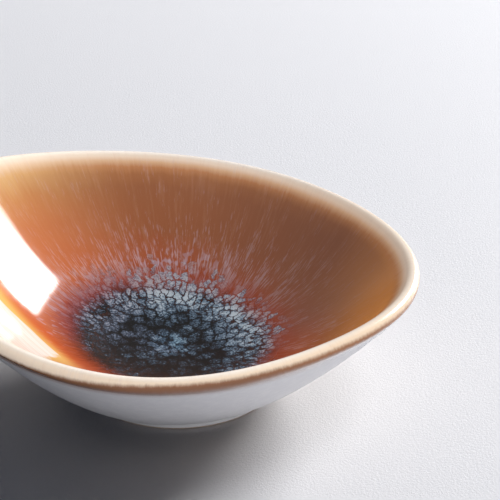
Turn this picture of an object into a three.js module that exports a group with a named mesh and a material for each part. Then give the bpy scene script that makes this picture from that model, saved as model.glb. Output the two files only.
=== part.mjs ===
// Dip bowl
// A small thrown stoneware bowl on a low foot ring. The wall is round, but the rim isn't level: it stands
// highest at one end, dips along the sides and kicks up a little at the low end. Coats of glaze cover the
// fired clay, and the thickest one lies as a pool in the bottom.
// Millimetres, +Z up. The bowl stands on z = 0 with the low end of its rim towards +X, and the origin is
// on the table, under the middle of the outline.

import * as THREE from 'three';
import { LoftGeometry } from 'three/addons/geometries/LoftGeometry.js';

// Rim, followed along the middle of the lip and measured from the axis of the foot
const RIM_RADIUS = 53.05; // mean distance from the axis
const RIM_OVERHANG = 3.95; // how far the high end reaches past that mean, and the low end stays short of it
const RIM_SOFT_POINT = 1.2; // how far the low end is drawn out to a soft point
const RIM_SQUARENESS = 0.5; // how far the ends and sides stand out from a true round
const RIM_HEIGHT = 31.45; // mean height above the table
const RIM_TILT = 6.05; // how far the high end rises above that mean, and the low end sinks below it
const RIM_SADDLE = 2.35; // how far both ends rise and both sides dip
const RIM_KICK = 1.0; // how much steeper the rim sweeps up to the high end

// Clay
const CLAY_AT_LIP = 2.0;
const CLAY_AT_FLOOR = 2.5; // between the recess and the pool, at the middle
const WALL_SWELL = 0.9; // how much thicker the wall's shoulder is than its lip

// Outer wall, as the two guide points of its curve: shares of the way from the heel to the lip
const HEEL_GUIDE = new THREE.Vector2(0.4, 0.215);
const SHOULDER_GUIDE = new THREE.Vector2(0.735, 0.67);

// Inside, whose curve leaves the middle of the floor level
const FLOOR_GUIDE = 32.0; // how far from the axis the floor's level guide point lies

// Foot ring and the recess inside it
const FOOT_RADIUS = 22.0;
const FOOT_WIDTH = 3.9;
const FOOT_HEIGHT = 1.2;
const FOOT_EDGE = 0.5; // how far the standing edge is eased on both sides
const RECESS_HEIGHT = 1.8; // from the table to the glazed roof of the recess, at its rim
const RECESS_DOME = 0.4; // how much higher that roof is at its middle
const RECESS_SLOPE = 1.2; // how far the side of the recess leans in

// Glaze
const COAT = 0.35; // thickness of a plain coat
const POOL_DEPTH = 0.95; // thickness of the pool at its middle
const POOL_REACH = 23.8; // mean distance from the middle of the floor to the pool's edge, along the floor
const POOL_SHIFT = 2.4; // how much farther the pool reaches towards the high end
const LIP_BAND_OUTSIDE = 1.3; // how far the lip's coat runs down the outer wall, below the round of the lip
const LIP_BAND_INSIDE = 1.6; // how far it runs down the inner wall

// Clearances
const BOND = 0.25; // between a coat and the clay under it
const BUTT = 0.3; // between two coats that meet edge to edge
const SEAT = 0.3; // between the foot ring and the body that it is joined to

// How finely the forms are divided
const STEPS_AROUND = 60;
const STEPS_UP_OUTER_WALL = 8;
const STEPS_OVER_LIP = 8;
const STEPS_DOWN_INNER_WALL = 9;
const STEPS_ACROSS_POOL = 5;
const STEPS_ACROSS_RECESS = 3;

const seatHeight = FOOT_HEIGHT + SEAT;
const footInside = FOOT_RADIUS - FOOT_WIDTH;
const lipHalf = CLAY_AT_LIP / 2 + BOND + COAT;
const recessRoof = RECESS_HEIGHT + COAT + BOND;
const floorHeight = recessRoof + RECESS_DOME + CLAY_AT_FLOOR + BOND + POOL_DEPTH;

// Point of a section: its distance from the foot's axis, and its height
function at(radius, height) {
  return new THREE.Vector2(radius, height);
}

function rimRadius(angle) {
  const overhang = RIM_OVERHANG * Math.cos(angle);
  const point = RIM_SOFT_POINT * Math.cos(3 * angle);
  const squareness = RIM_SQUARENESS * Math.cos(4 * angle);
  return RIM_RADIUS - overhang + point + squareness;
}

function rimHeight(angle) {
  const tilt = RIM_TILT * Math.cos(angle);
  const saddle = RIM_SADDLE * Math.cos(2 * angle);
  const kick = RIM_KICK * Math.cos(3 * angle);
  return RIM_HEIGHT - tilt + saddle - kick;
}

// Whole glazed surface of the section at one angle, from the heel up the outer wall, over the lip and
// down to the middle of the floor
function skinAt(angle) {
  const heel = at(FOOT_RADIUS, seatHeight);
  const lip = at(rimRadius(angle), rimHeight(angle));
  const span = lip.clone().sub(heel);
  const heelGuide = span.clone().multiply(HEEL_GUIDE).add(heel);
  const shoulder = span.clone().multiply(SHOULDER_GUIDE).add(heel);
  const rise = lip.clone().sub(shoulder).normalize();
  const outward = at(rise.y, -rise.x);
  const offset = (point, distance) => point.clone().addScaledVector(outward, distance);

  const outerWall = new THREE.CubicBezierCurve(
    heel,
    heelGuide,
    offset(shoulder, lipHalf),
    offset(lip, lipHalf),
  );
  const start = outward.angle();
  const lipRound = new THREE.EllipseCurve(lip.x, lip.y, lipHalf, lipHalf, start, start + Math.PI);
  const innerWall = new THREE.CubicBezierCurve(
    offset(lip, -lipHalf),
    offset(shoulder, -lipHalf - WALL_SWELL),
    at(FLOOR_GUIDE, floorHeight),
    at(0, floorHeight),
  );

  const skin = new THREE.CurvePath();
  skin.curves.push(outerWall, lipRound, innerWall);
  return skin;
}

// One station of the section: the glaze's surface, its underside, and the clay below it
function stationAt(skin, distance, depth) {
  const share = distance / skin.getLength();
  const surface = skin.getPoint(share);
  const along = skin.getTangent(share);
  const inward = surface.x > 0 ? at(-along.y, along.x) : at(0, -1);
  const under = surface.clone().addScaledVector(inward, depth);
  const clay = surface.clone().addScaledVector(inward, depth + BOND);
  return { surface, under, clay };
}

// Stations of one coat, evenly spaced between two distances along the skin
function stationsBetween(skin, from, to, steps, depthAt = () => COAT) {
  return Array.from({ length: steps + 1 }, (_, step) => {
    const distance = from + (to - from) * step / steps;
    return stationAt(skin, distance, depthAt(distance));
  });
}

// The four coats of the section at one angle
function sectionAt(angle) {
  const skin = skinAt(angle);
  const [outerEnd, lipEnd, end] = skin.getCurveLengths();
  const brownLine = outerEnd - LIP_BAND_OUTSIDE;
  const lipFoot = lipEnd + LIP_BAND_INSIDE;
  const poolReach = POOL_REACH - POOL_SHIFT * Math.cos(angle);
  const poolEdge = end - poolReach;
  const poolDepth = (distance) => {
    const fromMiddle = (end - distance) / poolReach;
    return POOL_DEPTH + (COAT - POOL_DEPTH) * fromMiddle ** 2;
  };
  return {
    outer: stationsBetween(skin, 0, brownLine - BUTT, STEPS_UP_OUTER_WALL),
    lip: stationsBetween(skin, brownLine, lipFoot, STEPS_OVER_LIP),
    inner: stationsBetween(skin, lipFoot + BUTT, poolEdge - BUTT, STEPS_DOWN_INNER_WALL),
    pool: stationsBetween(skin, poolEdge, end, STEPS_ACROSS_POOL, poolDepth),
  };
}

// Outline of a coat that runs round the bowl as a ring
function coatOutline(stations) {
  const surface = stations.map((station) => station.surface);
  const under = stations.map((station) => station.under);
  return [...surface, ...under.reverse()];
}

// Outline of the pool, which starts and ends on the axis
function poolOutline({ pool }) {
  const surface = pool.map((station) => station.surface);
  const under = pool.map((station) => station.under);
  return [...under.reverse(), ...surface];
}

// Points under a shallow dome, from the axis out to its rim
function domePoints(rimHeightOfDome, reach) {
  return Array.from({ length: STEPS_ACROSS_RECESS + 1 }, (_, step) => {
    const share = step / STEPS_ACROSS_RECESS;
    return at(reach * share, rimHeightOfDome + RECESS_DOME * (1 - share ** 2));
  });
}

// Outline of the clay body, from the middle of the recess, round under the wall, and over the lip to the
// middle of the floor
function clayOutline({ outer, lip, inner, pool }) {
  const covered = [...outer, ...lip, ...inner, ...pool].map((station) => station.clay);
  const recess = domePoints(recessRoof, footInside - RECESS_SLOPE);
  const seatInside = at(footInside, seatHeight);
  const seatOutside = at(covered[0].x - BOND, seatHeight);
  return [...recess, seatInside, seatOutside, ...covered];
}

function recessGlazeOutline() {
  const reach = footInside - RECESS_SLOPE - BUTT;
  const roof = domePoints(RECESS_HEIGHT + COAT, reach);
  const surface = domePoints(RECESS_HEIGHT, reach);
  return [...surface, ...roof.reverse()];
}

function footOutline() {
  return [
    at(footInside + FOOT_EDGE, 0),
    at(FOOT_RADIUS - FOOT_EDGE, 0),
    at(FOOT_RADIUS, FOOT_EDGE),
    at(FOOT_RADIUS, FOOT_HEIGHT),
    at(footInside, FOOT_HEIGHT),
    at(footInside, FOOT_EDGE),
  ];
}

// Sections all round the foot's axis, the last one on the first, so that the loft closes
const turns = Array.from({ length: STEPS_AROUND + 1 }, (_, step) => {
  const angle = -2 * Math.PI * (step % STEPS_AROUND) / STEPS_AROUND;
  return { angle, section: sectionAt(angle) };
});

// Lofts a section that changes from angle to angle. A ring's outline closes on itself, and a disc's
// outline starts and ends on the axis.
function lofted(name, outlineOf, shape, colour, roughness) {
  const sections = turns.map(({ angle, section }) => outlineOf(section).map((point) => (
    new THREE.Vector3(point.x * Math.cos(angle), point.x * Math.sin(angle), point.y)
  )));
  const geometry = new LoftGeometry(sections, { closed: shape === 'ring' });
  const material = new THREE.MeshStandardMaterial({ color: colour, roughness, metalness: 0 });
  const mesh = new THREE.Mesh(geometry, material);
  mesh.name = name;
  return mesh;
}

const bowl = new THREE.Group();
bowl.add(
  lofted('clay_body', clayOutline, 'disc', 0xcfc6ba, 0.85),
  lofted('foot_ring', footOutline, 'ring', 0xc9c4bd, 0.8),
  lofted('outer_glaze', ({ outer }) => coatOutline(outer), 'ring', 0xe4e3e4, 0.35),
  lofted('lip_glaze', ({ lip }) => coatOutline(lip), 'ring', 0xf3dcbc, 0.2),
  lofted('inner_glaze', ({ inner }) => coatOutline(inner), 'ring', 0x96593a, 0.15),
  lofted('pool_glaze', poolOutline, 'disc', 0x4d5a66, 0.12),
  lofted('recess_glaze', recessGlazeOutline, 'disc', 0xe4e3e4, 0.35),
);

// The high end overhangs the foot by more than the low end, so the bowl is moved along X until the
// middle of its outline is over the origin
const outline = new THREE.Box3().setFromObject(bowl);
bowl.position.x = -(outline.min.x + outline.max.x) / 2;

export default bowl;
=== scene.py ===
# %% [markdown]
# # A glazed dip bowl
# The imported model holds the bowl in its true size: a stoneware body, a foot ring and five coats of glaze.
# This lesson dresses it. Each coat becomes a fine, smooth solid that follows the same curves as the packed
# one, and each gets a glaze whose colours run down the wall and gather in a dark pool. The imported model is
# loaded first, and everything after it is placed by its numbers.

import math

import bmesh
import bpy
import numpy as np
from mathutils import Matrix, Vector, noise


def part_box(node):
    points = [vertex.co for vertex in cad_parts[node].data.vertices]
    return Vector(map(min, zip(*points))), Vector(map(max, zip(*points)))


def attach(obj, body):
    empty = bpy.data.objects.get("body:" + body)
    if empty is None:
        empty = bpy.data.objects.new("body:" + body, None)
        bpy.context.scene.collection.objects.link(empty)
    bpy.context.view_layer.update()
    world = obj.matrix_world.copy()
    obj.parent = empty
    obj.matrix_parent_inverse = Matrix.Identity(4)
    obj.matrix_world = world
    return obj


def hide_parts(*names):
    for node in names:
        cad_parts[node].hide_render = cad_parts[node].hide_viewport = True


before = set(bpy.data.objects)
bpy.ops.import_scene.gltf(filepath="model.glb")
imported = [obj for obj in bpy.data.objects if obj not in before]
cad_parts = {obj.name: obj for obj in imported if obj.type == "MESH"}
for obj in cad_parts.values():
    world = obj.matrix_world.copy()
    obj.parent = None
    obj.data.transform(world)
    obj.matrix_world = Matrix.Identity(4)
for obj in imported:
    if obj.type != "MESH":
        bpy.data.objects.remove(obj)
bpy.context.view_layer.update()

# %% [markdown]
# ## The camera
# The bowl is seen from a little above, through a long lens, and the picture cuts off its high end. A short
# lens close by would do too, but it would swell the near side of the rim. A long lens far away keeps both
# sides alike in size. The camera looks along +Y, so its place follows from the point it aims at, its
# distance and its height above the horizon.

# %% Camera
AIM = Vector((0.01852, 0.06448, 0.0))
CAMERA_DISTANCE = 0.4887
CAMERA_ELEVATION = math.radians(26.172)
LENS = 139.32
SENSOR = 36.0

lens = bpy.data.cameras.new("camera")
lens.lens = LENS
lens.sensor_width = SENSOR
lens.clip_start = 0.01
camera = bpy.data.objects.new("camera", lens)
bpy.context.scene.collection.objects.link(camera)
back = Vector((0, -math.cos(CAMERA_ELEVATION), math.sin(CAMERA_ELEVATION)))
camera.location = AIM + CAMERA_DISTANCE * back
camera.rotation_euler = back.to_track_quat("Z", "Y").to_euler()
bpy.context.scene.camera = camera
print("camera at", [round(v, 4) for v in camera.location])

# %% [markdown]
# ## The curve of the bowl
# A potter pulls the wall up from the foot, rounds the lip and then pushes the rim out of level, so one end
# stands high. Cut through the foot's axis at any angle, the glazed surface is three curves in a row: the
# outer wall, the half circle of the lip, and the inner wall down to the middle of the floor. It could be
# sculpted by eye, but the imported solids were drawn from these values, in millimetres. The fine pieces
# follow the same curves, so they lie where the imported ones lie.

# %% Sizes of the bowl in millimetres
MM = 0.001

RIM_RADIUS, RIM_OVERHANG, RIM_SOFT_POINT, RIM_SQUARENESS = 53.05, 3.95, 1.2, 0.5
RIM_HEIGHT, RIM_TILT, RIM_SADDLE, RIM_KICK = 31.45, 6.05, 2.35, 1.0
FOOT_RADIUS, SEAT_HEIGHT = 22.0, 1.5
LIP_HALF = 1.6
WALL_SWELL = 0.9
HEEL_GUIDE = np.array((0.4, 0.215))
SHOULDER_GUIDE = np.array((0.735, 0.67))
FLOOR_GUIDE, FLOOR_HEIGHT = 32.0, 6.5

foot_low, foot_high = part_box("foot_ring")
AXIS = (foot_low.x + foot_high.x) / 2
print("axis of the foot at x =", round(AXIS, 5))

# %% The section at one angle
CURVE_STEPS, LIP_STEPS = 160, 60


def guided_curve(points):
    """A smooth curve from the first point to the last, drawn towards the two guides between them."""
    share = np.linspace(0, 1, CURVE_STEPS)[:, None]
    rest = 1 - share
    a, b, c, d = points
    return rest**3 * a + 3 * rest**2 * share * b + 3 * rest * share**2 * c + share**3 * d


def section_at(angle):
    """Points of the glazed surface at one angle, as distance from the axis and height, the distance run
    along the curve to each, and where the lip's round starts and ends on that run."""
    heel = np.array((FOOT_RADIUS, SEAT_HEIGHT))
    radius = (RIM_RADIUS - RIM_OVERHANG * math.cos(angle) + RIM_SOFT_POINT * math.cos(3 * angle)
              + RIM_SQUARENESS * math.cos(4 * angle))
    height = (RIM_HEIGHT - RIM_TILT * math.cos(angle) + RIM_SADDLE * math.cos(2 * angle)
              - RIM_KICK * math.cos(3 * angle))
    lip = np.array((radius, height))
    shoulder = heel + (lip - heel) * SHOULDER_GUIDE
    rise = (lip - shoulder) / np.linalg.norm(lip - shoulder)
    outward = np.array((rise[1], -rise[0]))
    outer = guided_curve((heel, heel + (lip - heel) * HEEL_GUIDE, shoulder + outward * LIP_HALF,
                          lip + outward * LIP_HALF))
    start = math.atan2(outward[1], outward[0])
    turn = np.linspace(start, start + math.pi, LIP_STEPS)[1:-1]
    lip_round = lip + LIP_HALF * np.stack((np.cos(turn), np.sin(turn)), 1)
    inner = guided_curve((lip - outward * LIP_HALF, shoulder - outward * (LIP_HALF + WALL_SWELL),
                          np.array((FLOOR_GUIDE, FLOOR_HEIGHT)), np.array((0.0, FLOOR_HEIGHT))))
    points = np.concatenate((outer, lip_round, inner))
    run = np.concatenate(([0.0], np.cumsum(np.linalg.norm(np.diff(points, axis=0), axis=1))))
    return points, run, run[len(outer) - 1], run[len(outer) + len(lip_round)]


for degrees in (0, 90, 180):
    _, run, lip_start, lip_end = section_at(math.radians(degrees))
    print(degrees, "degrees: outer wall", round(lip_start, 1), "inner wall", round(run[-1] - lip_end, 1))

# %% [markdown]
# ## One way to make every coat
# A coat of glaze is a thin sheet of even thickness that wraps a curved wall, and its edges are rings round
# the bowl. A sheet with a Solidify modifier would come close, but its edges would not stop where the packed
# ones stop. So each coat is first spun from a flat strip, which makes a washer, or a disc if the strip
# starts on the axis. Then the washer is folded on to the curve of the bowl: a point's share of the way
# across the washer says how far along the curve it goes, and its height says whether it is on the surface
# or on the underside. The spin makes the mesh, so every coat is closed and evenly divided.

# %% Spin a flat washer
STEPS_AROUND = 240


def washer(rings, hole=1.0):
    """A flat ring, 1 unit across and 1 unit thick, round a hole. With a hole of 0 it is a disc."""
    made = bmesh.new()
    bmesh.ops.create_grid(made, x_segments=1, y_segments=1, size=0.5)
    bmesh.ops.delete(made, geom=made.faces[:], context="FACES_ONLY")
    bmesh.ops.rotate(made, verts=made.verts, matrix=Matrix.Rotation(math.pi / 2, 3, "X"))
    bmesh.ops.translate(made, verts=made.verts, vec=(hole + 0.5, 0, -0.5))
    level = [e for e in made.edges if abs(e.verts[0].co.z - e.verts[1].co.z) < 0.1]
    on_axis = [e for e in made.edges if max(v.co.x for v in e.verts) < 0.1]
    bmesh.ops.subdivide_edges(made, edges=level, cuts=rings - 1)
    bmesh.ops.delete(made, geom=on_axis, context="EDGES")
    bmesh.ops.spin(made, geom=made.verts[:] + made.edges[:], angle=2 * math.pi, steps=STEPS_AROUND,
                   axis=(0, 0, 1), cent=(0, 0, 0), use_merge=True)
    bmesh.ops.remove_doubles(made, verts=made.verts, dist=1e-5)
    return made


trial = washer(4)
print("a washer of 4 rings has", len(trial.verts), "points and", len(trial.faces), "faces")
trial.free()

# %% [markdown]
# ## What the hand leaves
# A thrown wall is never quite true. Fingers leave faint lines round the outside, and the whole wall swells
# and sinks by a few hundredths of a millimetre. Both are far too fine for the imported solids. A bump in the
# glaze could fake them, but here they are moved into the mesh as it is folded, so that they belong to the
# shape and make the light run unevenly over the glaze.

# %% Throwing lines and swell
STILL_NEAR_LIP, FADE_FROM_LIP, FADE_TO_FOOT = 3.0, 4.0, 5.0
SWELL, SWELL_PITCH = 0.05, 0.09
THROWING_LINE, THROWING_STEP, WALL_RUN = 0.015, 2.7, 36.0
LINE_WANDER, WANDER_PITCH = 1.5, 0.03


def hand_relief(angle, from_lip, from_middle):
    """How far the surface rises or sinks, in millimetres: throwing lines outside, a slow swell inside."""
    if abs(from_lip) < STILL_NEAR_LIP:
        return 0.0
    away = min(1.0, (abs(from_lip) - STILL_NEAR_LIP) / FADE_FROM_LIP)
    where = Vector((math.cos(angle) * from_middle, math.sin(angle) * from_middle, from_lip))
    swell = SWELL * noise.noise(where * SWELL_PITCH)
    if from_lip > 0:
        return away * swell
    near_foot = min(1.0, max(0.0, (WALL_RUN + from_lip) / FADE_TO_FOOT))
    wander = LINE_WANDER * noise.noise(where * WANDER_PITCH)
    line = THROWING_LINE * math.sin(-from_lip / THROWING_STEP * 2 * math.pi + wander)
    return away * near_foot * (swell + line)


print("rise 12 mm below the lip", round(hand_relief(0.0, -12.0, 60.0), 4), "mm")

# %% Fold a washer on to the bowl
SLOPE_REACH = 0.05
sections = [section_at(2 * math.pi * k / STEPS_AROUND) for k in range(STEPS_AROUND)]
print("sections round the bowl", len(sections))


def fold(made, zone, hole=1.0):
    """Moves each point of a washer to its place in a coat. zone gives, for an angle and its section, the
    runs at the washer's hole and at its outer edge, and how deep the coat is."""
    from_lip = made.verts.layers.float.new("from_lip")
    from_middle = made.verts.layers.float.new("from_middle")
    for vert in made.verts:
        flat = math.hypot(vert.co.x, vert.co.y)
        angle = math.atan2(vert.co.y, vert.co.x) if flat > 1e-6 else 0.0
        turn = round(angle / (2 * math.pi) * STEPS_AROUND) % STEPS_AROUND
        points, run, lip_start, lip_end = sections[turn]
        near, far, depth_at = zone(angle, run, lip_start, lip_end)
        here = near + (far - near) * min(max(flat - hole, 0.0), 1.0)
        ends = (here, min(here + SLOPE_REACH, run[-1]), max(here - SLOPE_REACH, 0.0))
        place, ahead, behind = [np.array([np.interp(end, run, points[:, k]) for k in (0, 1)])
                                for end in ends]
        along = (ahead - behind) / np.linalg.norm(ahead - behind)
        inward = np.array((-along[1], along[0])) if place[0] > 1e-6 else np.array((0.0, -1.0))
        crest = (lip_start + lip_end) / 2
        if vert.co.z > -0.5:
            place = place - inward * hand_relief(angle, here - crest, run[-1] - here)
        place = place - inward * vert.co.z * depth_at(here)
        vert[from_lip] = here - crest
        vert[from_middle] = run[-1] - here
        east, north = math.cos(angle), math.sin(angle)
        vert.co = (place[0] * east * MM + AXIS, place[0] * north * MM, place[1] * MM)
    bmesh.ops.recalc_face_normals(made, faces=made.faces)
    return made


# %% Turn a mesh into a piece
SHARP_EDGE = math.radians(40)


def finished(made, name, node, material):
    """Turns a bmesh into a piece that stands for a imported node."""
    mesh = bpy.data.meshes.new(name)
    made.to_mesh(mesh)
    made.free()
    mesh.shade_smooth()
    mesh.set_sharp_from_angle(angle=SHARP_EDGE)
    mesh.materials.append(material)
    piece = bpy.data.objects.new(name, mesh)
    bpy.context.scene.collection.objects.link(piece)
    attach(piece, "root")
    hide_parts(node)
    print(name, len(mesh.polygons), "faces")
    return piece


# %% [markdown]
# ## Writing a glaze as sums
# A glaze is a mixture of many effects, and each is a number that changes over the surface. In the editor
# they would be dozens of Math nodes laid out by hand. Here one small class wraps a node's output, so that
# such numbers can be added and multiplied as in Python, and one method makes any other node.


# %% Colours
def colour(code):
    """Linear colour of a six-digit sRGB code."""
    shares = [int(code[k:k + 2], 16) / 255 for k in (0, 2, 4)]
    return (*[v / 12.92 if v <= 0.04045 else ((v + 0.055) / 1.055) ** 2.4 for v in shares], 1.0)


print("middle grey sends back", round(colour("808080")[0], 3), "of the light")


# %% Numbers on the surface
class Wire:
    """A node's output that Python can add, subtract, multiply and divide."""

    def __init__(self, recipe, socket):
        self.recipe = recipe
        self.socket = socket

    def __neg__(self):
        return self.recipe.maths("MULTIPLY", self, -1.0)

    def __add__(self, other):
        return self.recipe.maths("ADD", self, other)

    def __sub__(self, other):
        return self.recipe.maths("SUBTRACT", self, other)

    def __rsub__(self, other):
        return self.recipe.maths("SUBTRACT", other, self)

    def __mul__(self, other):
        return self.recipe.maths("MULTIPLY", self, other)

    def __truediv__(self, other):
        return self.recipe.maths("DIVIDE", self, other)

    __radd__, __rmul__ = __add__, __mul__

    def between(self, low, high):
        """0 below low, 1 above high, and a soft rise in between."""
        return self.recipe.node("MapRange", {"interpolation_type": "SMOOTHSTEP"},
                                {"Value": self, "From Min": low, "From Max": high})


# %% Nodes by name
class Recipe:
    """The nodes of a material or of the world. A node's inputs are wires, numbers or colour codes."""

    def __init__(self, owner, shader):
        owner.use_nodes = True
        self.owner = owner
        self.nodes = owner.node_tree.nodes
        self.links = owner.node_tree.links
        self.shader = self.nodes[shader]

    def node(self, kind, settings=None, inputs=None, output=0):
        made = self.nodes.new("ShaderNode" + kind)
        for name, value in (settings or {}).items():
            if name == "stops":
                stops = made.color_ramp.elements
                while len(stops) < len(value):
                    stops.new(1.0)
                for stop, (place, code) in zip(stops, value):
                    stop.position = place
                    stop.color = colour(code)
            else:
                setattr(made, name, value)
        for name, value in (inputs or {}).items():
            if isinstance(value, Wire):
                self.links.new(value.socket, made.inputs[name])
            else:
                made.inputs[name].default_value = colour(value) if isinstance(value, str) else value
        return Wire(self, made.outputs[output])

    def maths(self, operation, *values):
        return self.node("Math", {"operation": operation}, dict(enumerate(values)))

    def mix(self, share, a, b, blend="MIX"):
        """Colour a where share is 0, and colour b, blended with it, where share is 1."""
        settings = {"data_type": "RGBA", "blend_type": blend, "clamp_factor": True}
        return self.node("Mix", settings, {0: share, 6: a, 7: b}, output=2)

    def feed(self, **inputs):
        """Links wires to the shader, and gives back the material or world that is now complete."""
        for socket, value in inputs.items():
            self.links.new(value.socket, self.shader.inputs[socket.replace("_", " ")])
        return self.owner


# %% Clay and glaze
class Finish(Recipe):
    """A material, with the patterns that clay and glaze need."""

    def __init__(self, name, **constants):
        super().__init__(bpy.data.materials.new(name), "Principled BSDF")
        for socket, value in constants.items():
            self.shader.inputs[socket.replace("_", " ")].default_value = value

    def place(self):
        """Object coordinates in millimetres, from the foot's axis."""
        seen = self.node("TexCoord", output="Object")
        return self.node("Mapping", None, {"Vector": seen, "Location": (-AXIS / MM, 0, 0),
                                           "Scale": (1 / MM, 1 / MM, 1 / MM)})

    def attribute(self, name):
        return self.node("Attribute", {"attribute_name": name}, output="Fac")

    def vector(self, operation, inputs, output=0):
        return self.node("VectorMath", {"operation": operation}, inputs, output)

    def split(self, vector):
        return [self.node("SeparateXYZ", None, {0: vector}, output=axis) for axis in ("X", "Y")]

    def noise(self, vector, scale, detail=2.0, rough=0.5, output="Fac"):
        return self.node("TexNoise", None, {"Vector": vector, "Scale": scale, "Detail": detail,
                                            "Roughness": rough}, output)

    def ramp(self, stops, share):
        return self.node("ValToRGB", {"stops": stops}, {0: share})

    def tint(self, share, paint, code):
        """Paint that is multiplied by a colour, as far as share says."""
        return self.mix(share, paint, self.mix(1.0, paint, code, "MULTIPLY"))

    def bump(self, height, distance):
        return self.node("Bump", None, {"Height": height, "Distance": distance}, "Normal")


# %% [markdown]
# ## Directions down the wall
# Glaze runs down a wall while it melts, so its patterns follow two directions: round the bowl, and down the
# wall to the middle. Each coat's mesh carries how far every point is from the lip and from the middle of the
# floor. The turn round the foot's axis comes from the coordinates. Its sine and cosine are used, never the
# angle itself, because an angle jumps at one side and would leave a seam.


# %% A finish with directions
class Glaze(Finish):
    """A finish that knows how far each point is from the lip and from the middle of the floor. east is 1
    towards the low end of the rim and -1 towards the high end, and north is 1 at the far side."""

    def __init__(self, name, **constants):
        super().__init__(name, **constants)
        self.at = self.place()
        self.from_lip = self.attribute("from_lip")
        self.from_middle = self.attribute("from_middle")
        self.level = self.vector("MULTIPLY", {0: self.at, 1: (1, 1, 0)})
        self.outward = self.vector("NORMALIZE", {0: self.level})
        self.east, self.north = self.split(self.outward)

    def flow(self, around, along):
        """Coordinates whose patterns are drawn out down the wall: around is how many fit a radian, and
        along how many fit a millimetre of the way down."""
        down = self.node("CombineXYZ", None, {"Z": self.from_middle * along})
        return self.vector("MULTIPLY_ADD", {0: self.outward, 1: (around, around, 0), 2: down})

    def runs(self, around, along, detail, rough=0.5):
        """Noise that is drawn out down the wall."""
        return self.noise(self.flow(around, along), 1.0, detail, rough)


# %% [markdown]
# ## The glaze on the inner wall
# Where it is thin, over the lip, the glaze is cream. Down the wall it thickens to amber and rust. It could
# be painted by hand on an unwrapped picture, but the colour follows the distance down the wall, because that
# is what thickness follows in the kiln, so a ramp over that distance says it best. Noise drawn out down the
# wall makes its edges run. The high end catches more glaze, so it has a ramp of its own, and the low end is
# honey-coloured near the lip. That honey is partly the glaze's colour and partly painted light, brighter
# than the glaze on a wall that the lamps light less.

# %% Cream to rust
DOWN_THE_WALL = [(0.0, "f7e0c6"), (0.03, "f9efe4"), (0.07, "f3dec8"), (0.1, "dfb690"), (0.135, "bf8458"),
                 (0.18, "a76d46"), (0.26, "9b6240"), (0.55, "9c5d3a"), (0.75, "a85735"), (1.0, "973a22")]
AT_THE_HIGH_END = [(0.0, "fcecda"), (0.06, "f5e3cc"), (0.13, "e5b97e"), (0.25, "d4945a"), (0.42, "c87744"),
                   (0.66, "c86432"), (0.9, "b04420")]
WALL_LENGTH, HIGH_WALL_LENGTH = 40.0, 48.0
HONEY_AND_PAINTED_LIGHT = "e89a4c"
print("colours down the wall", len(DOWN_THE_WALL), "and at the high end", len(AT_THE_HIGH_END))


def wall_colour(glaze):
    """Cream, amber and rust by the distance from the lip, which noise shifts by a few millimetres. Near the
    lip at the low end, honey that is partly painted light.
    """
    cloud = glaze.noise(glaze.at, 0.05, 3.0)
    wide = glaze.runs(9.0, 0.03, 4.0, 0.6)
    combed = glaze.runs(60.0, 0.06, 3.0, 0.6)
    drift = (wide - 0.5) * 5.0 + (cloud - 0.5) * 6.0 + (combed - 0.5) * 6.0
    depth = glaze.from_lip + drift * glaze.from_lip.between(1.5, 14.0)
    down = glaze.ramp(DOWN_THE_WALL, depth / WALL_LENGTH)
    high = glaze.ramp(AT_THE_HIGH_END, depth / HIGH_WALL_LENGTH)
    base = glaze.mix((-glaze.east).between(0.2, 1.1), down, high)
    # Honey near the lip at the low end: the glaze's colour, brightened as painted light.
    low_end = (glaze.east - glaze.north * 0.5).between(0.55, 1.0)
    below_lip = (1.0 - glaze.from_lip.between(8.0, 30.0)) * glaze.from_lip.between(3.5, 7.5)
    return glaze.mix(low_end * below_lip, base, HONEY_AND_PAINTED_LIGHT)


# %% [markdown]
# ## Streaks and drops
# As the glaze ran, pale crystals were drawn out into flecks. They are few and fine near the lip and dense
# near the pool, and hardly any lie on the near side of the high end. Above the far side of the pool a few
# gathered into drops. Thousands of tiny pieces could be strewn along the wall, but flecks lie in the glaze
# and not on it. So they are noise, drawn out down the wall and cut off at a level that changes with the
# place. Broad, soft washes of colour lie over all of them. One of them, a darker, greyer brown towards the
# low end, is painted shade.

# %% Pale streaks
HAZE, FLECK = "d8a98c", "d2c0ca"


def pale_streaks(glaze, base):
    """Fine flecks and a softer haze, both drawn out down the wall."""
    fine = glaze.runs(110.0, 0.3, 3.0, 0.65)
    long = glaze.runs(60.0, 0.1, 3.0, 0.6)
    broad = glaze.runs(12.0, 0.1, 3.0, 0.6)
    dense = 1.0 - glaze.from_middle.between(20.0, 50.0)
    dense = dense * (0.75 - glaze.east * 0.35 + glaze.north * 0.35)
    fleck = (fine + (broad - 0.5) * 0.45 + dense * 0.16).between(0.57, 0.72)
    soft = (long + (broad - 0.5) * 0.3).between(0.45, 0.8)
    hazed = glaze.mix(soft * 0.14, base, HAZE)
    free = (-glaze.east).between(0.3, 0.8) * (0.55 - glaze.north).between(0.0, 0.55) * 0.95
    return glaze.mix(fleck * (1.0 - free) * (0.13 + dense * 0.56), hazed, FLECK)


# %% Washes, painted shade and drops
PAINTED_SHADE_BROWN, TOASTED, DROP, WARMED = "6b4a3e", "c8a680", "c4c0d4", "d98558"


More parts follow.
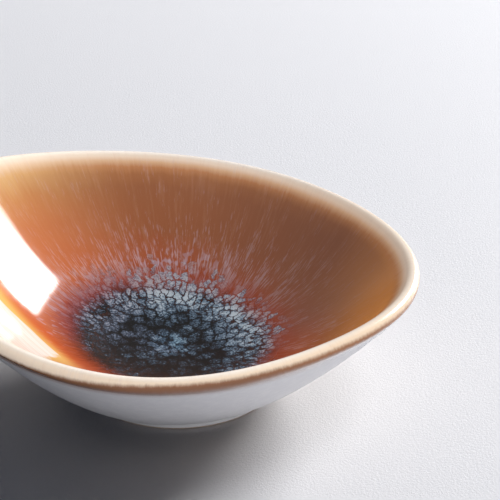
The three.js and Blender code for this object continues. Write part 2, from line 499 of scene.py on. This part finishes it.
def toned(glaze, painted):
    """Painted shade towards the low end, toasted on the lip there, and warmer towards the high end."""
    # Painted shade: a darker, greyer brown below the lip towards the low end.
    shade_share = glaze.east.between(-0.4, 1.0) * glaze.from_lip.between(3.0, 8.0)
    painted = glaze.mix(shade_share * glaze.north.between(-0.35, 0.3) * 0.6, painted, PAINTED_SHADE_BROWN)
    on_lip = glaze.east.between(0.2, 0.9) * (1.0 - glaze.from_lip.between(1.5, 4.0))
    painted = glaze.mix(on_lip * 0.3, painted, TOASTED)
    drop = glaze.runs(24.0, 0.36, 1.0).between(0.56, 0.64)
    drop = drop * (glaze.north - glaze.east).between(0.3, 1.2)
    drop = drop * (1.0 - glaze.from_middle.between(27.0, 40.0))
    painted = glaze.mix(drop * 0.7, painted, DROP)
    warm = (-glaze.east).between(0.1, 0.8) * glaze.from_lip.between(8.0, 24.0)
    return glaze.mix(warm * 0.35, painted, WARMED)


# %% [markdown]
# ## A painted highlight of cream
# At the near side of the high end the glaze mirrors the key lamp a second time, where the wall turns towards
# the lip. That mirrored light is painted here: a tongue of pale, combed cream, with a straight edge towards
# the middle and a soft one beside it, which the key lamp lifts to near white. Beyond the straight edge the
# amber glows, from honey to a hot orange. Noise can't draw a straight edge. Three straight lines across the
# bowl can: how far a point lies beyond each of them says where it is in the tongue. A line is written as how
# much of x, how much of y, and a shift.

# %% Where the painted highlight lies
STRAIGHT_EDGE = (0.68, 0.735, 29.1)
ALONG_THE_EDGE = (0.735, -0.68, 24.7)
SOFT_EDGE = (0.96, -0.28, 20.4)
HIGHLIGHT_CREAM, HIGHLIGHT_WHITE = "f2e2d2", "fdf3ea"
HONEY_GLOW, ORANGE_GLOW = "edc06c", "de5614"


def painted_highlight(glaze, wall):
    """The wall with a painted highlight over it, a tongue of combed cream, and glowing amber beside that."""
    x, y = glaze.split(glaze.at)
    inside, along, beside = [x * x_share + y * y_share + shift
                             for x_share, y_share, shift in (STRAIGHT_EDGE, ALONG_THE_EDGE, SOFT_EDGE)]
    ragged = glaze.runs(30.0, 0.1, 3.0)
    wave = glaze.noise(glaze.at, 0.3, 2.0)
    straight = 1.0 - (inside - along.between(-2.0, 8.0) * 1.9).between(-0.15, 0.25)
    soft = 1.0 - (beside + (ragged - 0.5) * 3.0 + (wave - 0.5) * 2.0).between(-0.6, 0.6)
    # over is the share of the painted highlight: bright cream that stands in for the key lamp's second
    # mirrored image.
    over = straight * soft * (along + (wave - 0.5) * 8.0).between(-14.0, -3.0)
    comb = glaze.node("CombineXYZ", None, {"X": inside * 1.5, "Y": along * 0.04})
    lines = glaze.noise(comb, 1.0, 2.0)
    cream = glaze.mix(lines.between(0.35, 0.7), HIGHLIGHT_CREAM, HIGHLIGHT_WHITE)
    glow = (1.0 - inside.between(0.5, 9.5)) * along.between(-16.0, -4.0)
    glow = glow * (1.0 - along.between(14.0, 27.0))
    amber = glaze.mix(inside.between(1.0, 6.2), HONEY_GLOW, ORANGE_GLOW)
    return glaze.mix(over, glaze.mix(glow, wall, amber), cream)


def wall_paint(glaze):
    """All that lies on the inner wall and over the lip, with painted shade, painted light and a painted
    highlight among it.
    """
    return painted_highlight(glaze, toned(glaze, pale_streaks(glaze, wall_colour(glaze))))


# %% [markdown]
# ## Grains in the pool
# What has run down lies as a dark pool full of rounded, steel-blue grains, packed like cobbles. They lie
# under glass, so they are painted and not modelled, and Blender's cell texture has just that shape. The
# texture is flat, on coordinates drawn by the distance from the middle, so the grains grow longer towards
# the edge. A texture in space would be cut at random by the curved floor and give shards. Two layers are
# made, coarse in the middle and fine at the edge.

# %% One layer of grains
POOL_EDGE = 22.5
GRAIN_DISORDER = 0.85


def grain_layer(glaze, power, scale, warp):
    """Rounded grains, drawn out towards the middle when power is below 1: how deep in its grain a point
    lies, how near a crack, the grain's chance, and how far from the middle the grain itself lies."""
    radius = glaze.vector("LENGTH", {0: glaze.level}, "Value")
    stretch = glaze.maths("POWER", radius, power) * POOL_EDGE ** (1 - power)
    drawn = glaze.vector("SCALE", {0: glaze.outward, "Scale": stretch})
    moved = glaze.vector("ADD", {0: warp, 1: drawn})
    cells = {"Vector": moved, "Scale": scale, "Randomness": GRAIN_DISORDER}

    def cell(output, feature="F1"):
        return glaze.node("TexVoronoi", {"voronoi_dimensions": "2D", "feature": feature}, cells, output)

    near = cell("Distance")
    edge = cell("Distance", "DISTANCE_TO_EDGE")
    chance = glaze.node("SeparateColor", None, {0: cell("Color")}, "Red")
    reach = glaze.vector("LENGTH", {0: cell("Position")}, "Value")
    return 1.0 - near.between(0.05, 0.7), 1.0 - edge.between(0.0, 0.12), chance, reach


# %% Light and dark in the pool
STEEL = [(0.0, "08090b"), (0.2, "171b21"), (0.4, "334150"), (0.6, "586f84"), (0.8, "8a9fb0"),
         (1.0, "bccad3")]
print("steps from black to pale steel", len(STEEL))


def brightness(glaze, out, crumbs, grain):
    """A place on the steel ramp: brightest towards the far edge and at the crumbs in the middle, with
    each grain lit by itself, and a little darker at the near side as painted shade. out is the distance from
    the middle, allowing for the pool's lean."""
    deep, crack, chance = grain
    side = glaze.north * 0.6 + glaze.east * 0.4 + 0.36
    side = side + (glaze.north - glaze.east).between(0.75, 1.3) * 0.3
    ring = out.between(8.0, 19.0) * side
    patch = glaze.noise(glaze.at, 0.16, 2.0)
    # The term with -north darkens the near side of the pool: painted shade.
    level = 0.155 + ring * 0.57 + crumbs * 0.48 - (-glaze.north).between(0.1, 0.9) * 0.045
    level = level + (patch - 0.5) * 0.8 + (chance - 0.5) * 0.3
    crescent = deep * (1.0 - deep) * 4.0 - 0.6
    body = crescent * 0.12 + (deep - 0.5) * 0.38 - crack * (ring * 0.36 + 0.16)
    fine = glaze.noise(glaze.at, 2.2, 3.0, 0.8)
    arcs = glaze.noise(glaze.at, 0.9, 1.0) - 0.5
    arcs = 1.0 - glaze.maths("ABSOLUTE", arcs).between(0.0, 0.035)
    return level + body + (fine - 0.5) * 2.3 + arcs * 0.12


# %% [markdown]
# ## The edge of the pool
# The pool's edge is ragged and leans to one side. Round it the wall is stained rust, and wine red towards
# the high end. Past the edge some grains lie alone on the wall. A ragged mask alone would cut grains in
# half, so whole grains have a share of their own next to that of the pool.

# %% Stained wall
RUST, WINE, MAUVE = "933a1e", "8a2a26", "9a7f92"


def stained_wall(glaze, wall, edge, far_left):
    """The wall with a stain round the pool. far_left is 1 at the high end's far side."""
    stain = glaze.mix(far_left, RUST, WINE)
    stained = glaze.mix((1.0 - edge.between(23.5, 32.0)) * 0.88, wall, stain)
    streak = glaze.runs(70.0, 0.2, 3.0, 0.7).between(0.5, 0.72)
    streak = streak * (1.0 - edge.between(24.0, 32.0)) * far_left
    return glaze.mix(streak * 0.35, stained, MAUVE)


# %% The whole inside
WARP = 2.8
CRUMBS_AT = (-3.0, 3.5, 0)
SEA_BLUE, CRACK_BROWN, PINKISH = "8fd6e8", "4a2c22", "e6c0c4"


def inside_paint(glaze):
    """The wall, the stain round the pool, and the pool with its grains."""
    warp = glaze.noise(glaze.at, 0.45, 2.0, 0.5, "Color")
    warp = glaze.vector("MULTIPLY_ADD", {0: warp, 1: (WARP, WARP, 0), 2: (-WARP / 2, -WARP / 2, 0)})
    coarse = grain_layer(glaze, 0.8, 0.35, warp)
    small = grain_layer(glaze, 0.65, 0.6, warp)

    wander = glaze.runs(2.5, 0.0, 2.0)
    lean = 1.3 + glaze.east * 1.6 - glaze.north * 2.9 + glaze.east * glaze.north * 2.2
    lean = lean + (wander - 0.5) * 2.0
    out = glaze.from_middle + lean
    edge = out + (glaze.runs(45.0, 0.3, 3.0, 0.7) - 0.5) * 6.0
    far_left = (-glaze.east).between(0.1, 0.9) * (glaze.north * 0.9 + 0.35).between(0.0, 0.5)

    outer = out.between(13.0, 19.0)
    grain = [a * (1.0 - outer) + b * outer for a, b in zip(coarse[:3], small[:3])]
    deep, crack, chance = grain
    crumbs = 1.0 - glaze.vector("DISTANCE", {0: glaze.level, 1: CRUMBS_AT}, "Value").between(2.0, 7.0)
    bright = brightness(glaze, out, crumbs, grain)
    steel = glaze.tint(crumbs * 0.45, glaze.ramp(STEEL, bright), SEA_BLUE)
    steel = glaze.mix(crack * outer * 0.7, steel, CRACK_BROWN)
    steel = glaze.tint(far_left * 0.55, steel, PINKISH)

    whole = 1.0 - (small[3] + lean + (chance - 0.5) * 3.0).between(22.5, 26.5)
    alone = (1.0 - crack) * deep.between(0.0, 0.5) * whole * bright.between(0.2, 0.6)
    alone = alone * 0.8 * (1.0 - far_left * 0.7)
    share = glaze.maths("MAXIMUM", alone, 1.0 - edge.between(20.0, 26.8))
    return glaze.mix(share, stained_wall(glaze, wall_paint(glaze), edge, far_left), steel)


# %% [markdown]
# ## Glass on top
# A fired glaze is glass, so it mirrors the lamps sharply. It is never quite even: a broad, very low ripple
# bends the edges of the mirrored lamp a little, and the glass is duller over the grains and towards the
# low end. A clear coat over a dull colour could do this too, but the colour lies in the glass itself, and
# one smooth surface over it is simpler. Ripple and dullness come from the shader.

# %% Amber and pool
RIPPLE, LIP_RIPPLE = 0.000035, 0.00001


def glassy(name, paint, ior, ripple):
    """A glossy glaze over any paint."""
    glaze = Glaze(name, IOR=ior)
    painted = paint(glaze)
    rough = glaze.noise(glaze.at, 0.3, 3.0) * 0.07 + 0.06
    rough = rough + (1.0 - glaze.from_middle.between(18.0, 25.0)) * 0.2
    rough = rough + glaze.east.between(0.1, 0.9) * 0.12
    low = glaze.noise(glaze.at, 0.16, 1.0) + glaze.runs(30.0, 0.05, 1.0) * 0.3
    print(name, "has", len(glaze.nodes), "nodes")
    return glaze.feed(Base_Color=painted, Roughness=rough, Normal=glaze.bump(low, ripple))


amber_glaze = glassy("amber_glaze", inside_paint, 1.43, RIPPLE)
pool_glaze = glassy("pool_glaze", inside_paint, 1.43, RIPPLE)

# %% [markdown]
# ## Lip and outside
# The cream coat goes over the lip and stops a little way down the outside, where it leaves a toasted brown
# line with a soft haze below it. The line wanders, because the bowl was dipped by hand. Below it the
# outside is white, with a satin surface. The line could be where one coat's mesh ends, but then it would be
# as even as the mesh. So the lip and the outside share one paint, and the line crosses from coat to coat.

# %% Brown line on white
COOL_WHITE, WHITE = "d2d1d5", "d8d7da"
BROWN_LINE, LOW_END_BROWN = "8c6045", "a4714e"


def outside_paint(glaze):
    """The wall's paint over the lip, then the brown line and its haze, then white."""
    wall = wall_paint(glaze)
    ragged = glaze.runs(60.0, 0.5, 3.0, 0.7)
    wander = glaze.runs(1.6, 0.0, 1.0)
    outside = -glaze.from_lip + (ragged - 0.5) * 0.7 + (wander - 0.5) * 1.2 - glaze.north * 0.35
    outside = outside - (-glaze.east).between(0.05, 0.6) * 1.3 - glaze.east.between(0.3, 0.9) * 0.5
    haze = 1.0 - outside.between(1.6, 6.2)
    haze = haze * (1.0 - glaze.east.between(0.2, 0.8) * outside.between(1.3, 3.0))
    mottle = glaze.noise(glaze.at, 0.5, 4.0, 0.7)
    whites = glaze.mix(mottle.between(0.4, 0.7), COOL_WHITE, WHITE)
    brown = glaze.mix(glaze.east.between(0.2, 0.8), BROWN_LINE, LOW_END_BROWN)
    return glaze.mix(outside.between(0.2, 1.3), wall, glaze.mix(haze, whites, brown))


lip_glaze = glassy("lip_glaze", outside_paint, 1.45, LIP_RIPPLE)

# %% Satin white
white = Glaze("white_glaze", IOR=1.4)
satin = white.noise(white.at, 0.8, 4.0, 0.6)
white_glaze = white.feed(Base_Color=outside_paint(white), Roughness=satin * 0.12 + 0.44,
                         Normal=white.bump(satin, LIP_RIPPLE))
print("white_glaze has", len(white.nodes), "nodes")

# %% [markdown]
# ## The coats as solids
# Each coat starts and stops at a distance along the curve of the bowl: a zone. The pool is the one coat
# whose thickness changes, so its zone has a depth of its own. The whole glaze could be one skin, but a
# potter puts it on coat by coat, and a coat that is a solid of its own can be looked at alone. Neighbours
# end on the same ring and share the paint that runs across it, so no seam shows.

# %% Zones
COAT = 0.35
POOL_DEPTH, POOL_REACH, POOL_SHIFT = 0.95, 23.8, 2.4
LIP_BAND_OUTSIDE, LIP_BAND_INSIDE = 1.3, 1.6


def even(_):
    return COAT


def outer_zone(angle, run, lip_start, lip_end):
    return 0.0, lip_start - LIP_BAND_OUTSIDE, even


def lip_zone(angle, run, lip_start, lip_end):
    return lip_start - LIP_BAND_OUTSIDE, lip_end + LIP_BAND_INSIDE, even


def pool_reach(angle):
    return POOL_REACH - POOL_SHIFT * math.cos(angle)


def inner_zone(angle, run, lip_start, lip_end):
    return run[-1] - pool_reach(angle), lip_end + LIP_BAND_INSIDE, even


def pool_zone(angle, run, lip_start, lip_end):
    end = run[-1]

    def depth(here):
        return POOL_DEPTH + (COAT - POOL_DEPTH) * ((end - here) / pool_reach(angle)) ** 2

    return end, end - pool_reach(angle), depth


print("the pool reaches", [round(pool_reach(angle), 1) for angle in (0.0, math.pi)], "mm to its two ends")

# %% Four coats
OUTER_RINGS, LIP_RINGS, INNER_RINGS, POOL_RINGS = 48, 28, 56, 36

pieces = [
    finished(fold(washer(OUTER_RINGS), outer_zone),
             "white_glaze_coat", "outer_glaze", white_glaze),
    finished(fold(washer(LIP_RINGS), lip_zone),
             "lip_glaze_coat", "lip_glaze", lip_glaze),
    finished(fold(washer(INNER_RINGS), inner_zone),
             "amber_glaze_coat", "inner_glaze", amber_glaze),
    finished(fold(washer(POOL_RINGS, hole=0.0), pool_zone, hole=0.0),
             "pool_glaze_coat", "pool_glaze", pool_glaze),
]

# %% [markdown]
# ## Foot
# The foot is a low ring of clay, trimmed while the bowl was leather hard. Its standing edge is eased so
# that it doesn't scratch the table, and wiped clean of glaze before firing, or it would stick to the kiln
# shelf. Its profile could be spun as it is, but the washer is there already: at the right size it makes the
# ring, and a bevel eases its two lower edges.

# %% Turned foot
FOOT_WIDTH, FOOT_EDGE, EDGE_STEPS = 3.9, 0.5, 4

foot = washer(2)
for vert in foot.verts:
    flat = math.hypot(vert.co.x, vert.co.y)
    wide = (FOOT_RADIUS - FOOT_WIDTH * (2 - flat)) / flat
    vert.co = (vert.co.x * wide * MM + AXIS, vert.co.y * wide * MM, SEAT_HEIGHT * (1 + vert.co.z) * MM)
bmesh.ops.recalc_face_normals(foot, faces=foot.faces)
standing = [e for e in foot.edges if max(v.co.z for v in e.verts) < 1e-6 and e.calc_face_angle(0) > 1.0]
bmesh.ops.bevel(foot, geom=standing, offset=FOOT_EDGE * MM, offset_type="OFFSET", affect="EDGES",
                segments=EDGE_STEPS, profile=0.5, material=-1)
print("eased", len(standing), "edges of the foot")

# %% Wiped clay, glazed side
CLAY_LINE, GLAZE_FADE, TOASTED_BAND = 0.3, 0.12, 0.2
FOOT_DARK, FOOT_PALE, FOOT_SPECK, FOOT_TOASTED, FOOT_WHITE = "b9ab9a", "cdbfae", "6f5a48", "96694a", "d3d2d5"
FOOT_GRIT = 0.00006

foot_clay = Finish("foot_clay", IOR=1.45)
spot = foot_clay.place()
grit = foot_clay.noise(spot, 1.6, 5.0, 0.7)
speck = foot_clay.noise(spot, 4.0).between(0.66, 0.74)
height = foot_clay.node("SeparateXYZ", None, {0: spot}, output="Z") + (grit - 0.5) * 0.25
glazed = height.between(CLAY_LINE, CLAY_LINE + GLAZE_FADE)
toasted = height.between(CLAY_LINE - TOASTED_BAND, CLAY_LINE) * (1.0 - glazed)
bare = foot_clay.mix(grit, FOOT_DARK, FOOT_PALE)
bare = foot_clay.mix(speck * 0.6, bare, FOOT_SPECK)
bare = foot_clay.mix(toasted * 0.6, bare, FOOT_TOASTED)
foot_finish = foot_clay.feed(Base_Color=foot_clay.mix(glazed, bare, FOOT_WHITE),
                             Roughness=0.85 - glazed * 0.5,
                             Normal=foot_clay.bump(grit * (1.0 - glazed), FOOT_GRIT))
pieces.append(finished(foot, "thrown_foot", "foot_ring", foot_finish))

# %% [markdown]
# ## Under the foot
# Nobody sees the roof of the recess until the bowl is turned over. It is glazed white like the outside, in
# a shallow dome, with a few pinholes where the glaze crept back from the clay. Proportional editing could
# raise the dome. A disc whose points sink with the square of their distance from the middle is exact.

# %% Roof of the recess
RECESS_HEIGHT, RECESS_DOME, RECESS_REACH, RECESS_RINGS = 1.8, 0.4, 16.6, 16
RECESS_DULL, PINHOLE = "cdccd0", "8d7866"
RECESS_RIPPLE = 0.00005

recess = washer(RECESS_RINGS, hole=0.0)
for vert in recess.verts:
    share = math.hypot(vert.co.x, vert.co.y)
    roof = RECESS_HEIGHT + RECESS_DOME * (1 - share ** 2) + COAT * (1 + vert.co.z)
    vert.co = (vert.co.x * RECESS_REACH * MM + AXIS, vert.co.y * RECESS_REACH * MM, roof * MM)
bmesh.ops.recalc_face_normals(recess, faces=recess.faces)

under = Finish("recess_white", IOR=1.45)
spot = under.place()
mottle = under.noise(spot, 0.6, 4.0, 0.7)
pin = under.noise(spot, 3.0).between(0.7, 0.76)
dabbed = under.mix(mottle.between(0.35, 0.7), RECESS_DULL, WHITE)
recess_finish = under.feed(Base_Color=under.mix(pin * 0.5, dabbed, PINHOLE),
                           Roughness=mottle * 0.15 + 0.3, Normal=under.bump(mottle, RECESS_RIPPLE))
pieces.append(finished(recess, "recess_glaze_coat", "recess_glaze", recess_finish))

# %% [markdown]
# ## The clay inside
# The clay body is covered everywhere, and only shows in the hairlines between the coats and the foot. It
# could be made anew like the coats, but nothing would be gained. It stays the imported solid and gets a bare
# clay finish: pale, gritty and dull, with dark iron specks.

# %% Bare clay
CLAY_DARK, CLAY_PALE, IRON_SPECK = "bdb2a4", "d6cdc1", "7a6452"
CLAY_GRIT = 0.00005

clay = Finish("clay")
spot = clay.place()
grit = clay.noise(spot, 1.4, 5.0, 0.7)
speck = clay.noise(spot, 3.5).between(0.64, 0.72)
bare = clay.mix(grit, CLAY_DARK, CLAY_PALE)
clay_finish = clay.feed(Base_Color=clay.mix(speck * 0.5, bare, IRON_SPECK),
                        Roughness=grit * 0.2 + 0.75, Normal=clay.bump(grit, CLAY_GRIT))
body_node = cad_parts["clay_body"]
body_node.data.materials.clear()
body_node.data.materials.append(clay_finish)
pieces.append(body_node)
print("pieces of the bowl", len(pieces))

# %% [markdown]
# ## Table and backdrop
# The bowl stands on a sheet of pale paper. Behind it, far off, a low white ring closes the view. A bright
# world could do that alone, but it would also fill the shadows. The ring gives no light of its own to the
# bowl: only the camera and mirror-like surfaces see it as white. Neither thing is part of the object.


# %% Things of the stage
def staged(made, name, material):
    """Turns a bmesh into a thing that is seen with the bowl but isn't part of it."""
    mesh = bpy.data.meshes.new(name)
    made.to_mesh(mesh)
    made.free()
    mesh.materials.append(material)
    thing = bpy.data.objects.new(name, mesh)
    bpy.context.scene.collection.objects.link(thing)
    print(name, [round(v, 2) for v in thing.dimensions], "metres")
    return thing


# %% Paper table
TABLE_HALF = 6.0
PAPER_LOW, PAPER_HIGH = "e9e9ec", "edecf0"
PAPER_GRAIN = 0.00009

sheet = bmesh.new()
bmesh.ops.create_grid(sheet, x_segments=1, y_segments=1, size=TABLE_HALF)
table = Finish("floor_paper", Roughness=0.6)
grain = table.noise(table.place(), 1.6, 4.0, 0.7)
table_finish = table.feed(Base_Color=table.mix(grain, PAPER_LOW, PAPER_HIGH),
                          Normal=table.bump(grain, PAPER_GRAIN))
floor = staged(sheet, "floor", table_finish)

# %% Backdrop ring
RING_RADIUS, RING_HEIGHT, RING_SIDES = 3.2, 0.45, 96
RING_COLOUR = (0.02, 0.02, 0.02, 1)
RING_BRIGHTNESS, RING_IN_MIRRORS = 0.85, 0.4
RAYS = ("Is Camera Ray", "Is Glossy Ray", "Is Transmission Ray")

ring = bmesh.new()
bmesh.ops.create_circle(ring, segments=RING_SIDES, radius=RING_RADIUS)
risen = bmesh.ops.extrude_edge_only(ring, edges=ring.edges[:])["geom"]
top = [part for part in risen if isinstance(part, bmesh.types.BMVert)]
bmesh.ops.translate(ring, verts=top, vec=(0, 0, RING_HEIGHT))
paper = Finish("backdrop_paper", Roughness=0.9, Base_Color=RING_COLOUR, Emission_Strength=RING_BRIGHTNESS)
seen, glossy, through = [paper.node("LightPath", output=name) for name in RAYS]
mirrored = paper.maths("MAXIMUM", glossy, through)
lit = paper.maths("MAXIMUM", seen, mirrored * RING_IN_MIRRORS)
staged(ring, "backdrop", paper.feed(Emission_Color=paper.mix(lit, "000000", "ffffff")))

# %% [markdown]
# ## Key lamp
# The key lamp is a soft box low at the back right. Its place, turn and size were worked out from where it
# is mirrored in the glaze. It is made twice, at the same place: one lamp lights the bowl and the other the
# table, as light linking lets them, because one lamp that is strong enough for the table would burn out the
# lip. The white outside throws no soft light on the table either, because it would fill the shadow beside
# the foot.

# %% What each lamp lights
white_coat = pieces[0]
white_coat.visible_diffuse = False

bowl_only = bpy.data.collections.new("bowl_only")
for piece in pieces:
    bowl_only.objects.link(piece)
table_only = bpy.data.collections.new("table_only")
table_only.objects.link(floor)

# %% Place of the key lamp
KEY_AZIMUTH, KEY_ELEVATION, KEY_DISTANCE = math.radians(50), math.radians(22), 2.0
KEY_CORNER = (0.012, 0.256)
KEY_TURN = math.radians(39.5)
KEY_SIZE = (0.36, 0.45)


def direction_to(azimuth, elevation):
    return Vector((math.cos(elevation) * math.cos(azimuth), math.cos(elevation) * math.sin(azimuth),
                   math.sin(elevation)))


towards = direction_to(KEY_AZIMUTH, KEY_ELEVATION)
rightward = Vector((math.sin(KEY_AZIMUTH), -math.cos(KEY_AZIMUTH), 0))
upward = rightward.cross(towards)
first = Vector((math.cos(KEY_TURN), -math.sin(KEY_TURN)))
second = Vector((-math.sin(KEY_TURN), -math.cos(KEY_TURN)))
middle = Vector(KEY_CORNER) + first * KEY_SIZE[0] / 2 + second * KEY_SIZE[1] / 2
key_at = (towards + rightward * middle.x + upward * middle.y) * KEY_DISTANCE
key_edge = rightward * first.x + upward * first.y
facing = towards.normalized()
key_turned = Matrix((key_edge, facing.cross(key_edge), facing)).transposed().to_4x4()
print("key lamp at", [round(v, 3) for v in key_at])

# %% The key lamp, twice
KEY_ON_BOWL, KEY_ON_TABLE = 46.0, 68.0

for name, watts, receivers in (("key", KEY_ON_BOWL, bowl_only), ("key_on_table", KEY_ON_TABLE, table_only)):
    light = bpy.data.lights.new(name, "AREA")
    light.shape = "RECTANGLE"
    light.size, light.size_y = KEY_SIZE[0] * KEY_DISTANCE, KEY_SIZE[1] * KEY_DISTANCE
    light.energy = watts
    lamp = bpy.data.objects.new(name, light)
    bpy.context.scene.collection.objects.link(lamp)
    lamp.matrix_world = Matrix.Translation(key_at) @ key_turned
    lamp.visible_camera = False
    lamp.light_linking.receiver_collection = receivers
    print(name, "gives", watts, "watts")

# %% [markdown]
# ## Overhead lamp and reflectors
# A broad lamp high at the right lifts the table and the bowl alike. Two weak lamps light the bowl alone, as
# a photographer's small reflectors would: one above the well, and one low at the front right. White cards
# could stand there, but lamps are easier to measure. All three are kept out of mirrors, so that the glaze
# shows the key lamp alone.


# %% Overhead and reflectors
def disc_lamp(name, azimuth, elevation, distance, strength, size, receivers=None):
    """A lamp that points at the bowl, its angles in degrees. strength is what a white surface that faces
    it would send back."""
    direction = direction_to(math.radians(azimuth), math.radians(elevation))
    light = bpy.data.lights.new(name, "AREA")
    light.shape = "DISK"
    light.size = size
    light.energy = strength * math.pi ** 2 * distance ** 2
    lamp = bpy.data.objects.new(name, light)
    bpy.context.scene.collection.objects.link(lamp)
    turned = direction.to_track_quat("Z", "Y").to_matrix().to_4x4()
    lamp.matrix_world = Matrix.Translation(direction * distance) @ turned
    lamp.visible_camera = lamp.visible_glossy = False
    if receivers:
        lamp.light_linking.receiver_collection = receivers
    print(name, "gives", round(light.energy, 1), "watts")


disc_lamp("overhead", azimuth=12, elevation=58, distance=1.5, strength=0.29, size=0.6)
disc_lamp("well", azimuth=-122, elevation=58, distance=1.2, strength=0.45, size=0.4, receivers=bowl_only)
disc_lamp("front_card", azimuth=-54, elevation=4, distance=1.2, strength=0.48, size=0.5, receivers=bowl_only)

# %% [markdown]
# ## Light of the room
# The room itself gives a faint, bluish light that fills the shadows. The camera sees it as pale as the
# backdrop, and the glaze mirrors a little of it. One plain colour for the world could not be all three, so
# the kind of ray chooses. It is written with the same helpers as a glaze, since the world has nodes too.

# %% Room
SHADOW_TINT, PLAIN = (0.78, 0.95, 1.32, 1), (1, 1, 1, 1)
SHADOW_LIGHT, SEEN_LIGHT, MIRRORED_LIGHT = 0.053, 0.74, 0.24

room = Recipe(bpy.data.worlds.new("room"), "Background")
seen, glossy, through = [room.node("LightPath", output=name) for name in RAYS]
mirrored = room.maths("MAXIMUM", glossy, through)
untinted = room.maths("MAXIMUM", seen, mirrored)
strength = seen * SEEN_LIGHT + mirrored * MIRRORED_LIGHT + SHADOW_LIGHT
bpy.context.scene.world = room.feed(Color=room.mix(untinted, SHADOW_TINT, PLAIN), Strength=strength)
print("the room's light has", len(room.nodes), "nodes")

# %% [markdown]
# ## View
# The picture shows colours as they are written, with no film look.

# %% View
bpy.context.scene.view_settings.view_transform = "Standard"
